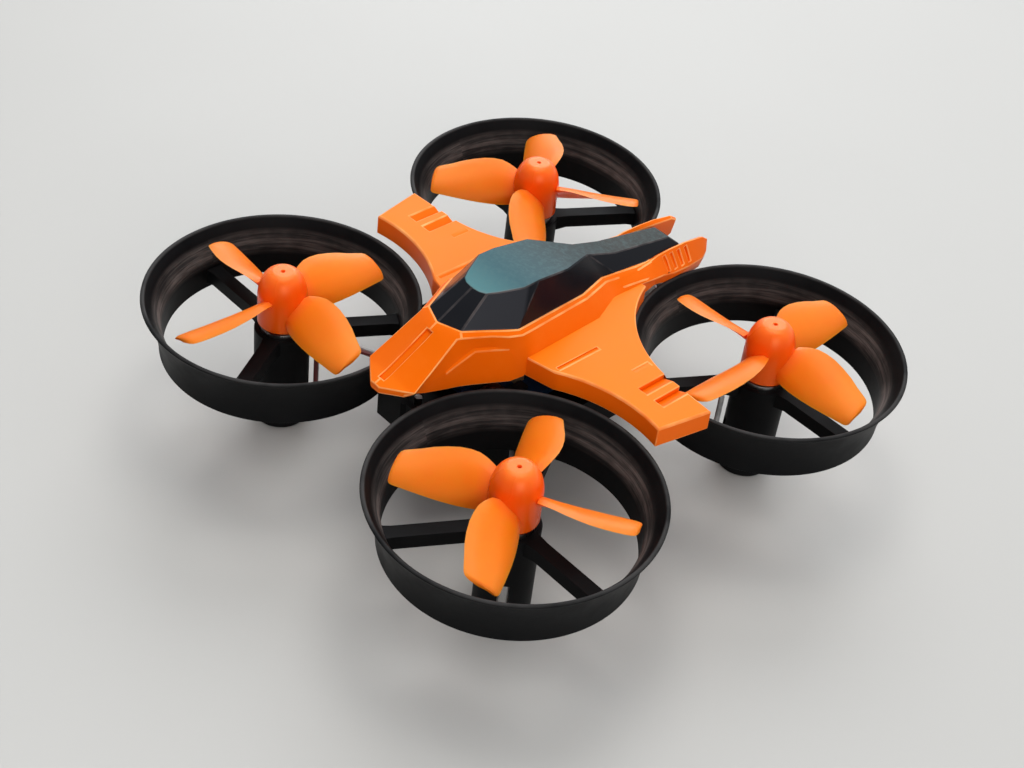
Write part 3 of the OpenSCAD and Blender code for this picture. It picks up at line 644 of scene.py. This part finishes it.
def fin_slot(index):
    """One slot across the slope of the left tail fin."""
    centre = [at + step * index for at, step in zip(FIN_SLOT_AT, FIN_SLOT_STEP)]
    turn = Matrix.Rotation(math.radians(FIN_SLOT_TURN), 4, "Z")
    tilt = Matrix.Rotation(math.radians(FIN_SLOT_TILT), 4, "Y")
    return moved(block(FIN_SLOT_LOW, FIN_SLOT_HIGH), Matrix.Translation(centre) @ (turn @ tilt))


def hood_groove():
    """The sunk strip down the middle of the hood."""
    half_width, depth, above, foot_gap, head_gap = 0.5, 0.5, 1.0, 0.9, 0.35
    start, end = Vector((0, -25.9, 2.2)), Vector((0, -17.35, 6.93))
    length = (end - start).length
    slope = math.atan2(end.z - start.z, end.y - start.y)
    strip = block((-half_width, foot_gap, -depth), (half_width, length - head_gap, above))
    return moved(strip, Matrix.Translation(start) @ Matrix.Rotation(slope, 4, "X"))


def lifted(part):
    """The part raised from heights above the duct lips to heights above the ground."""
    return moved(part, Matrix.Translation((0, 0, LIP_Z)))


def canopy_rounding(point, along):
    """The wings' outer edges are rounder than the rest, and folds across the rim stay soft."""
    x, y, z = abs(point.x), point.y, point.z - LIP_Z
    above_wing = abs(z - WING_TOP)
    if abs(along.y) < 0.3 and -15.0 < y < 20.0 and x < 8.5 and above_wing > 0.1:
        return 0.0
    front = abs(math.hypot(x - MOTOR_AT, y + MOTOR_AT) - FRONT_ARC) < 0.1
    rear = abs(math.hypot(x - MOTOR_AT, y - MOTOR_AT) - REAR_ARC) < 0.1
    tip = x > 27.25 or (x > 22.0 and y > 4.3)
    if above_wing > 0.02 or not (front or rear or tip):
        return 0.45
    return 0.6 if rear else 1.0


def build_canopy():
    canopy = piece("canopy", lifted(skin([both_sides(half) for half in BODY])))
    added = [prism(wing_outline(), WING_FOOT, WING_TOP), skin(FIN)]
    cut = [prism(wing_outline(WING_WALL), OPEN_FOOT, WING_TOP - WING_WALL)]
    cut += [louvre(*size) for size in LOUVRES]
    cut += [fin_slot(index) for index in range(FIN_SLOTS)]
    for parts, operation in ((added, "UNION"), (cut, "DIFFERENCE")):
        for side in (unchanged, mirrored):
            for part in parts:
                combine(canopy, lifted(side(part)), operation)
    for rings in (ROOM, HOOD_ROOM):
        combine(canopy, lifted(skin([both_sides(half) for half in rings])), "DIFFERENCE")
    combine(canopy, lifted(hood_groove()), "DIFFERENCE")
    round_edges(canopy, width=0.32, segments=3, angle=17, sharp=35, merge=0.08, clamp=False,
                share=canopy_rounding)
    finish_piece(canopy, "canopy_shell", "frame", "canopy_orange")


# ---- Cockpit cover ----

COVER_WALL = 0.7

# The left halves of the rails round the cover's foot and round its top, nose first
COVER_FOOT = [
    (0, -16.45, 7.4), (3.1, -15.15, 7.3), (6.42, -8.4, 6.62), (4.63, 5.0, 5.2),
    (3.0, 10.15, 4.66), (3.14, 12.5, 4.46), (3.2, 18.6, 3.8), (2.3, 26.6, 3.0),
]
COVER_TOP = [
    (0, -10.9, 10.48), (1.2, -10.72, 10.49), (2.13, -10.25, 10.53), (2.85, -9.1, 10.64),
    (4.3, -5.95, 10.95), (4.25, -3.46, 10.95), (4.0, 2.1, 10.2), (1.45, 8.3, 8.3),
    (1.62, 13.7, 6.5), (1.42, 24.9, 4.4),
]


def build_cover():
    """The faceted cover: a rail around its foot, a rail around its top, and the faces between."""
    half = COVER_FOOT + COVER_TOP
    count = len(half)
    points = half + [(-x, y, z) for x, y, z in half]
    # Points of the foot, of the top, and of the top on the other side
    f, t = list(range(len(COVER_FOOT))), list(range(len(COVER_FOOT), count))
    o = [i + count for i in t]
    left = [
        [f[0], f[1], t[2], t[1], t[0]], [f[1], f[2], t[4], t[3], t[2]], [f[2], t[5], t[4]],
        [f[2], f[3], t[6], t[5]], [f[3], f[4], t[7], t[6]], [f[4], f[5], t[7]],
        [f[5], t[8], t[7]], [f[5], f[6], t[8]], [f[6], f[7], t[9], t[8]],
    ]
    right = [[i + count for i in face[::-1]] for face in left]
    crown = [[t[0], t[1], o[1]], [t[-1], f[-1], f[-1] + count, o[-1]]]
    crown += [[t[i], t[i + 1], o[i + 1], o[i]] for i in range(1, len(t) - 1)]
    cover = piece("cover", lifted((points, left + right + crown)))
    thick = cover.modifiers.new("thickness", "SOLIDIFY")
    thick.thickness = COVER_WALL * MM
    thick.offset = -1.0
    thick.use_even_offset = True
    apply_modifiers(cover)
    round_edges(cover, width=0.2, segments=4, angle=12, sharp=35)
    finish_piece(cover, "cockpit_cover", "frame", "cover_black")


# ---- Ducts ----

DUCT_Z = 12.3       # foot of the ring
DUCT_H = LIP_Z - DUCT_Z
THROAT_R = 16.35    # outer radius at the foot
LIP_R = 18.5        # outer radius at the lip
RING_WALL = 0.6
RING_STEPS = 14
CREASE = 0.46       # the inside flares above this part of the height
DRAFT, FLARE, FLARE_CURVE = 0.12, 2.03, 1.25    # how the inside widens below and above it
POD_R = 3.75
BORE_R = 3.05
POD_TOP = 15.3
FLOOR = 1.2         # thickness of a pod's closed end
# The two slots in a pod's wall: the cutting block's ends, half its width, and its top
POD_SLOT_FROM, POD_SLOT_TO, POD_SLOT_HALF, POD_SLOT_TOP = 2.0, 5.0, 0.75, 7.8
# The lug that joins a duct to the tray: its ends, half its width, and its top
LUG_FROM, LUG_TO, LUG_HALF, LUG_TOP = 14.2, 17.33, 4.5, 17.0
RING_SEGMENTS, LUG_SEGMENTS, TURNED_SEGMENTS = 180, 120, 72
# An arm's section, as (across, height above the pod's top)
ARM_SECTION = [(-1.0, -2.0), (1.0, -2.0), (1.0, 0.0), (-1.0, 0.0)]
# Distance from the shaft along an arm, and how many times as wide and as deep it is there
ARM_REACH = [(2.9, 1.25, 1.2), (3.9, 1.15, 1.12), (5.2, 1.0, 1.0), (14.6, 1.0, 1.0),
             (15.5, 1.12, 1.05), (16.15, 1.4, 1.15)]


def ring_profile():
    """The ring's section: flared outside, and straight then flared inside, with round edges."""
    outside, inside = [], []
    for i in range(RING_STEPS + 1):
        h = i / RING_STEPS
        z = DUCT_Z + DUCT_H * h
        flare = max(0.0, (h - CREASE) / (1 - CREASE))
        outside.append((THROAT_R + (LIP_R - THROAT_R) * h ** 2, z))
        widened = DRAFT * h + FLARE * flare ** FLARE_CURVE
        inside.append((THROAT_R - RING_WALL + widened, z))
    inside.reverse()
    foot_r = 0.12
    outside[0] = (outside[0][0] - foot_r, outside[0][1])
    outside.insert(1, (THROAT_R + 0.004, DUCT_Z + foot_r))
    inside[-1] = (inside[-1][0] + foot_r, inside[-1][1])
    inside.insert(-1, (THROAT_R - RING_WALL, DUCT_Z + foot_r))
    outer, inner = outside.pop()[0], inside.pop(0)[0]
    lip = [(outer, LIP_Z - 0.22), (outer - 0.03, LIP_Z - 0.1), (outer - 0.14, LIP_Z - 0.01),
           (inner + 0.16, LIP_Z), (inner + 0.04, LIP_Z - 0.06), (inner - 0.03, LIP_Z - 0.2)]
    return outside + lip + inside


def build_duct(corner):
    """One duct: its ring, its pod with three arms, and its lug."""
    sx, sy = SIDE[corner]
    inward = math.degrees(math.atan2(-sy, -sx))
    centre = (sx * MOTOR_AT, sy * MOTOR_AT, 0)

    ring = piece(corner + "_duct", lathe(ring_profile(), RING_SEGMENTS), centre)
    shade(ring, 40)

    pod = piece(corner + "_pod", lathe([
        (0.0, 0.0), (POD_R - 0.5, 0.0), (POD_R - 0.13, 0.13), (POD_R, 0.5),
        (POD_R, POD_TOP - 0.2), (POD_R - 0.06, POD_TOP - 0.06), (POD_R - 0.2, POD_TOP),
        (BORE_R + 0.01, POD_TOP), (BORE_R, POD_TOP - 0.1), (BORE_R, FLOOR), (0.0, FLOOR)],
        TURNED_SEGMENTS), centre)
    slot = block((POD_SLOT_FROM, -POD_SLOT_HALF, FLOOR + SLIVER),
                 (POD_SLOT_TO, POD_SLOT_HALF, POD_SLOT_TOP))
    for degrees in (inward, inward + 180):
        combine(pod, turned(slot, degrees), "DIFFERENCE")
    # The arms are a little deeper where they leave the pod
    arm = skin([[(x, y * wide, POD_TOP + z * deep) for y, z in ARM_SECTION]
                for x, wide, deep in ARM_REACH])
    for degrees in (0, 120, 240) if sx > 0 else (180, 60, 300):
        combine(pod, turned(arm, degrees), "UNION")
    low, high = FLOOR + SLIVER, LIP_Z - 0.5
    bore = lathe([(0.0, low), (BORE_R, low), (BORE_R, high), (0.0, high)], TURNED_SEGMENTS)
    combine(pod, bore, "DIFFERENCE")
    round_edges(pod, width=0.16, segments=2, angle=35, sharp=40)

    lug = piece(corner + "_lug", turned(
        block((LUG_FROM, -LUG_HALF, DUCT_Z), (LUG_TO, LUG_HALF, LUG_TOP)), inward), centre)
    # The lug ends inside the ring's wall, so the ring's inside is cut from it
    wall = [(THROAT_R, DUCT_Z - 1), (THROAT_R, DUCT_Z), (THROAT_R + 0.7, LUG_TOP),
            (THROAT_R + 0.9, LUG_TOP + 0.6)]
    core = lathe([(SLIVER, wall[0][1])] + [(r - RING_WALL / 2, z) for r, z in wall]
                 + [(SLIVER, wall[-1][1])], LUG_SEGMENTS)
    combine(lug, core, "DIFFERENCE")
    round_edges(lug, width=0.15, segments=2, angle=35, sharp=40)

    for obj in (ring, pod, lug):
        finish_piece(obj, corner + "_duct", "frame", "frame_black")


# ---- Propellers ----

HUB_R = 3.33
HUB_H = 8.1
HUB_Z = LIP_Z + 3.9 - HUB_H
DOME_Z = 4.2        # where the hub's dome starts
DOME_TOP_R = 1.2    # radius of the flat on top of the dome
DOME_STEPS = 14
SHAFT_BORE_R = 0.42
BOSS_R = 1.3
BOSS_TOP = 3.4
RECESS_R = 2.8
BLADES = 4
BLADE_Z = 2.9       # a blade's middle line, above the hub's foot
ARCH = 0.085        # rise of a blade's arch, as a part of its chord
FLATTEN = 0.92      # the blades' rise is a little less than their pitch gives
# Stations along a blade: radius, leading edge, trailing edge, pitch in degrees, thickness
BLADE = [
    (3.0, 3.2, -2.3, 48, 1.1),
    (3.6, 3.6, -2.45, 47, 0.95),
    (4.4, 4.05, -2.6, 45.5, 0.78),
    (5.4, 4.45, -2.7, 43.5, 0.66),
    (6.6, 4.6, -2.75, 40.5, 0.6),
    (8.0, 4.55, -2.75, 37.5, 0.56),
    (9.6, 4.25, -2.7, 34, 0.53),
    (11.2, 3.8, -2.6, 31, 0.5),
    (12.6, 3.25, -2.5, 28, 0.48),
    (13.8, 2.85, -2.4, 26, 0.46),
    (14.5, 2.6, -2.35, 25.2, 0.44),
    (14.9, 2.3, -2.28, 24.8, 0.42),
    (15.15, 1.75, -2.15, 24.5, 0.38),
    (15.32, 0.7, -1.85, 24.3, 0.32),
]

# Each propeller's corner, its turn in degrees, and whether it turns clockwise from above
PROPELLERS = [("front_left", 33, True), ("front_right", 177, False),
              ("rear_left", 1, False), ("rear_right", 314, True)]


def blade_ring(radius, lead, trail, pitch, thick):
    """A blade's section: an arched strip with round edges. The leading edge is high and at -Y."""
    steps = 8
    chord = lead - trail
    upper, lower = [], []
    for i in range(steps + 1):
        u = i / steps
        s = trail + chord * u
        arch = ARCH * chord * (1 - (2 * u - 1) ** 2)
        half = thick / 2 * (1 - (2 * u - 1) ** 6) ** 0.5 * (0.75 + 0.25 * math.sin(math.pi * u))
        lower.append((s, arch - half))
        if 0 < i < steps:
            upper.append((s, arch + half))
    turn = math.radians(pitch)
    ring = []
    for s, t in lower + upper[::-1]:
        y = -(s * math.cos(turn) - t * math.sin(turn))
        ring.append((radius, y, BLADE_Z + s * math.sin(turn) * FLATTEN + t * math.cos(turn)))
    return ring


def hub_profile():
    """The hub's section: the boss on the shaft, the recess, the skirt, the dome and its pit."""
    boss = [(SHAFT_BORE_R, 0.4), (BOSS_R - 0.2, 0.4), (BOSS_R, 0.6), (BOSS_R, BOSS_TOP)]
    recess = [(RECESS_R - 0.05, BOSS_TOP), (RECESS_R, BOSS_TOP - 0.1), (RECESS_R, 0.15)]
    skirt = [(RECESS_R + 0.1, 0.0), (HUB_R - 0.15, 0.0), (HUB_R, 0.15), (HUB_R, DOME_Z)]
    dome = []
    for i in range(DOME_STEPS + 1):
        a = math.radians(6 + 84 * i / DOME_STEPS)
        dome.append((DOME_TOP_R + (HUB_R - DOME_TOP_R) * math.cos(a),
                     DOME_Z + (HUB_H - DOME_Z) * math.sin(a)))
    pit = [(0.32, HUB_H - 0.02), (0.24, HUB_H - 0.12), (0.22, HUB_H - 0.5),
           (SHAFT_BORE_R, HUB_H - 0.62)]
    return boss + recess + skirt + dome + pit


def build_propeller(corner, angle, clockwise):
    """The blades are modelled for a clockwise propeller, and mirrored for the other hand."""
    sx, sy = SIDE[corner]
    blade = skin([blade_ring(*station) for station in BLADE])
    blades = [turned(blade, 360 / BLADES * k) for k in range(BLADES)]
    propeller = piece(corner + "_prop", blades[0], (sx * MOTOR_AT, sy * MOTOR_AT, HUB_Z))
    for part in blades[1:] + [lathe(hub_profile(), TURNED_SEGMENTS)]:
        combine(propeller, part, "UNION")
    if not clockwise:
        propeller.data.transform(Matrix.Scale(-1, 4, (0, 1, 0)))
        propeller.data.flip_normals()
    propeller.data.transform(Matrix.Rotation(math.radians(angle), 4, "Z"))
    shade(propeller, 38)
    finish_piece(propeller, corner + "_propeller", corner + "_rotor", "propeller_orange")


# ---- The CAD's own pieces ----

MATERIAL_SLOT = {row["node"]: row["material_slot"] for row in frame["record"]["subparts"]}
TURNED_SLOTS = ("steel", "coil_copper", "magnet_nickel", "bush_brass", "end_cap_cream")


def paint_cad_nodes():
    for name, obj in frame["nodes"].items():
        slot = MATERIAL_SLOT[name]
        corner = name.removesuffix("_leads")
        if corner in SIDE:
            sx, sy = SIDE[corner]
            across = (sy * math.sqrt(0.5), -sx * math.sqrt(0.5), 0.0)
            material = two_wires(name, across, (0.16, 0.012, 0.012), (0.6, 0.6, 0.6),
                                 (sx * MOTOR_AT * MM, sy * MOTOR_AT * MM))
        elif name == "chassis_tray":
            material = MATERIALS["tray_black"]
        else:
            material = MATERIALS[slot]
        paint(obj, material)
        if slot in TURNED_SLOTS:
            shade(obj, 35)


# ---- Setting ----

FLOOR_HALF = 3000.0

# Soft lights: place, size, power and colour
LIGHTS = {
    "back_window": ((-0.50, 0.56, 0.50), 0.7, 3.9, (0.96, 0.98, 1.0)),
    "overhead": ((-0.1, 0.1, 0.9), 0.7, 4.2, (1.0, 0.98, 0.95)),
    "side_window": ((0.72, -0.42, 0.40), 0.6, 3.0, (1.0, 0.98, 0.96)),
}


def build_floor():
    s = FLOOR_HALF
    floor = piece("floor", ([(-s, -s, 0), (s, -s, 0), (s, s, 0), (-s, s, 0)], [[0, 1, 2, 3]]))
    m = Nodes("floor")
    cloud = m.noise(m.place(), 6, 3)
    m.set(color=m.tones(cloud, (0.47, 0.46, 0.44), (0.5, 0.49, 0.47)), rough=0.55)
    paint(floor, m.material)


def build_world():
    """A plain pale surround that is brighter behind the aircraft and above it."""
    bpy.context.scene.view_settings.view_transform = "Standard"
    world = bpy.data.worlds.new("studio")
    world.use_nodes = True
    tree = world.node_tree
    place = tree.nodes.new("ShaderNodeTexCoord")
    toward = tree.nodes.new("ShaderNodeVectorMath")
    toward.operation = "DOT_PRODUCT"
    toward.inputs[1].default_value = Vector((-0.1, 0.9, 0.45)).normalized()
    brightness = tree.nodes.new("ShaderNodeMapRange")
    for name, value in (("From Min", -0.3), ("From Max", 1.0), ("To Min", 0.3), ("To Max", 0.9)):
        brightness.inputs[name].default_value = value
    background = tree.nodes["Background"]
    background.inputs["Color"].default_value = (0.9, 0.95, 1.0, 1.0)
    tree.links.new(place.outputs["Generated"], toward.inputs[0])
    tree.links.new(toward.outputs["Value"], brightness.inputs["Value"])
    tree.links.new(brightness.outputs["Result"], background.inputs["Strength"])
    bpy.context.scene.world = world


def build_light(name, place, size, power, color):
    """A round lamp that faces the middle of the aircraft."""
    light = bpy.data.lights.new(name, "AREA")
    light.shape = "DISK"
    light.size = size
    light.energy = power
    light.color = color
    obj = bpy.data.objects.new(name, light)
    bpy.context.scene.collection.objects.link(obj)
    obj.location = place
    obj.rotation_euler = (-Vector(place)).to_track_quat("-Z", "Y").to_euler()


def build_camera():
    """The camera stands where the photo was taken from."""
    place = (0.122324, -0.133034, 0.161961)
    right = Vector((0.66982, 0.73594, 0.09859))
    up = Vector((-0.53011, 0.38100, 0.75751))
    forward = Vector((-0.51992, 0.55966, -0.64534))
    camera = bpy.data.cameras.new("camera")
    camera.sensor_width = 36.0
    camera.lens = 60.756
    camera.clip_start = 0.01
    camera.clip_end = 20.0
    obj = bpy.data.objects.new("camera", camera)
    bpy.context.scene.collection.objects.link(obj)
    axes = Matrix((right, up, -forward)).transposed().to_4x4()
    obj.matrix_world = Matrix.Translation(place) @ axes
    bpy.context.scene.camera = obj


build_camera()
build_floor()
build_world()
for name, settings in LIGHTS.items():
    build_light(name, *settings)
paint_cad_nodes()
build_canopy()
build_cover()
for corner in SIDE:
    build_duct(corner)
for propeller in PROPELLERS:
    build_propeller(*propeller)
